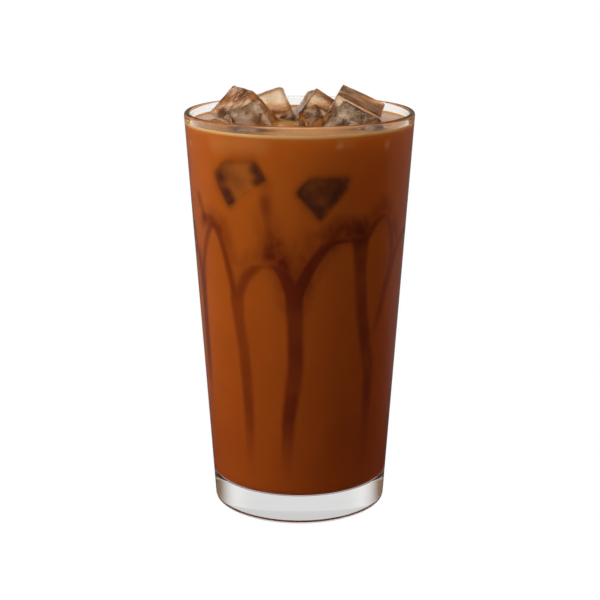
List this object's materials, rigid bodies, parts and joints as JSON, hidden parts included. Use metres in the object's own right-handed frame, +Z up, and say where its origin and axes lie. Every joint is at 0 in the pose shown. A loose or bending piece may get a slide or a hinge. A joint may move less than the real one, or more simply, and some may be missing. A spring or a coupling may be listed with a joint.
{
  "type": "frozen hot chocolate",
  "caption": "Iced chocolate drink in a plain clear conical glass, filled almost to the rim, with ice cubes standing above the drink and chocolate syrup that ran down inside the wall.",
  "frame": {"origin": "middle of the glass's foot, on the surface it stands on", "axes": "+Z up along the glass's axis; the side shown in the picture faces -Y"},
  "size_m": [0.089, 0.089, 0.1665],
  "materials": {
    "glass": "clear polished soda-lime glass",
    "chocolate_drink": "smooth wet milk chocolate drink with darker syrup runs; gloss plastic stands in for the liquid",
    "ice": "wet clear ice with a few cloudy cracks"
  },
  "bodies": {
    "root": {"glass": "glass", "drink": "chocolate_drink", "ice_left": "ice", "ice_back_left": "ice", "ice_front_left": "ice", "ice_middle": "ice", "ice_back": "ice", "ice_front_small": "ice", "ice_right": "ice", "ice_front_right": "ice"}
  },
  "joints": []
}
